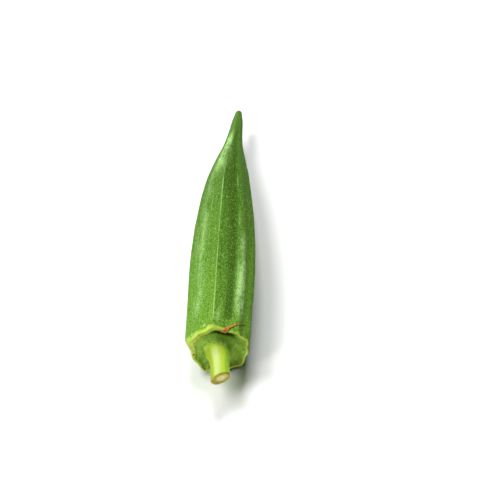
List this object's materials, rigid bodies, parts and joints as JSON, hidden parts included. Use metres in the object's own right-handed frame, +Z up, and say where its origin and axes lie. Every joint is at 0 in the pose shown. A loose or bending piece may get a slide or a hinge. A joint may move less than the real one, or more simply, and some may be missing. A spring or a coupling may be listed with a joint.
{
  "type": "okra pod",
  "caption": "Whole fresh okra pod lying on its side: ribbed, tapering to a drawn-out tip, with a rimmed base and a short stalk cut at a slant.",
  "frame": {"origin": "on the surface the pod lies on, under the middle of its box", "axes": "+Y along the pod towards its tip, so the stalk points to -Y; +Z up; +X to the right seen from the stalk end"},
  "size_m": [0.0204, 0.125, 0.02],
  "materials": {
    "okra_skin": "satin, fine downy plant skin"
  },
  "bodies": {
    "root": {"okra_pod": "okra_skin"}
  },
  "joints": []
}
